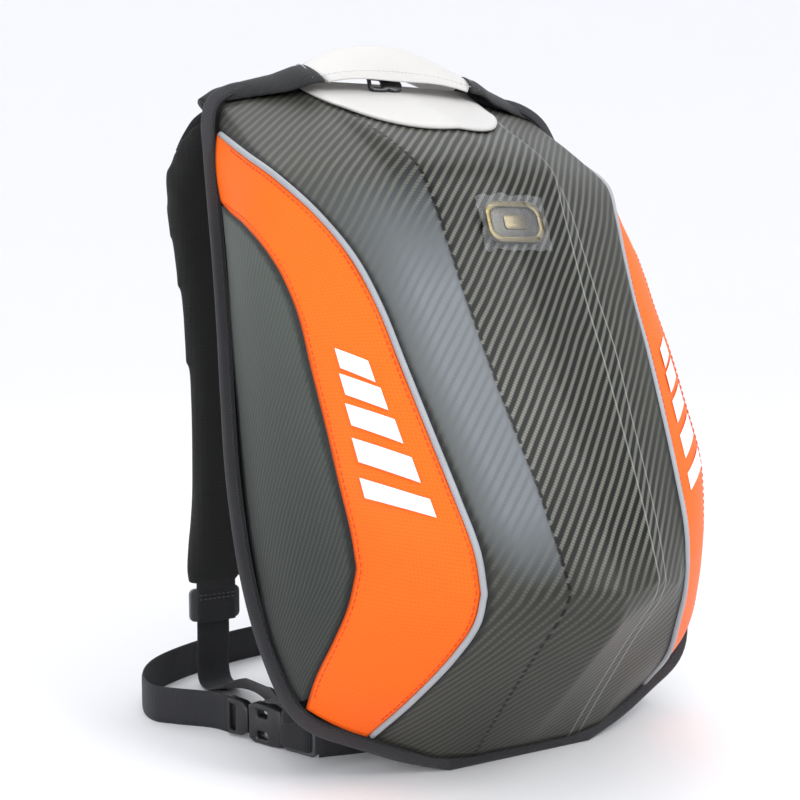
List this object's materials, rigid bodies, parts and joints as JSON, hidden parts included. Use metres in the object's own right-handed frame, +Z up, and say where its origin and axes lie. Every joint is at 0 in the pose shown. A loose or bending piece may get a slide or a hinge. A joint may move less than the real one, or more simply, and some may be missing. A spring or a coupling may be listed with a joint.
{
  "type": "hard shell backpack",
  "caption": "Lean moulded hard shell backpack with a faceted front hump, piped side panels, a taped rim, an arched carry handle, padded shoulder straps and a closed waist belt.",
  "frame": {"origin": "middle of the footprint, on the floor", "axes": "+Z up, front of the shell towards -Y, wearer's side towards +Y, +X to the right as the front is seen"},
  "size_m": [0.3684, 0.3746, 0.4644],
  "materials": {
    "carbon_shell": "carbon look twill film, satin gloss",
    "orange_panel": "finely dotted coated cloth, matt",
    "grey_piping": "smooth piping",
    "rim_tape": "ribbed binding tape with zigzag stitches",
    "white_leather": "smooth white leatherette",
    "black_cloth": "padded mesh cloth",
    "black_webbing": "woven webbing",
    "black_plastic": "glossy moulded plastic",
    "badge_metal": "brushed bronze plate",
    "clear_film": "wrinkled clear protective film"
  },
  "bodies": {
    "root": {"shell_centre": "carbon_shell", "side_panel_left": "orange_panel", "side_panel_right": "orange_panel", "side_gusset_left": "carbon_shell", "side_gusset_right": "carbon_shell", "piping_left": "grey_piping", "piping_right": "grey_piping", "edge_binding": "rim_tape", "back_wall": "black_cloth", "back_pad": "black_cloth", "top_patch": "white_leather", "carry_handle": "white_leather", "yoke_left": "black_cloth", "yoke_right": "black_cloth", "handle_clip": "black_plastic", "badge_plate": "badge_metal", "badge_film": "clear_film", "shoulder_pad_left": "black_cloth", "pad_tab_left": "black_webbing", "strap_buckle_left": "black_plastic", "lower_webbing_left": "black_webbing", "shoulder_pad_right": "black_cloth", "pad_tab_right": "black_webbing", "strap_buckle_right": "black_plastic", "lower_webbing_right": "black_webbing", "belt_slider": "black_plastic", "buckle_socket": "black_plastic", "buckle_plug": "black_plastic", "belt_front": "black_webbing", "belt_rear": "black_webbing"}
  },
  "joints": []
}
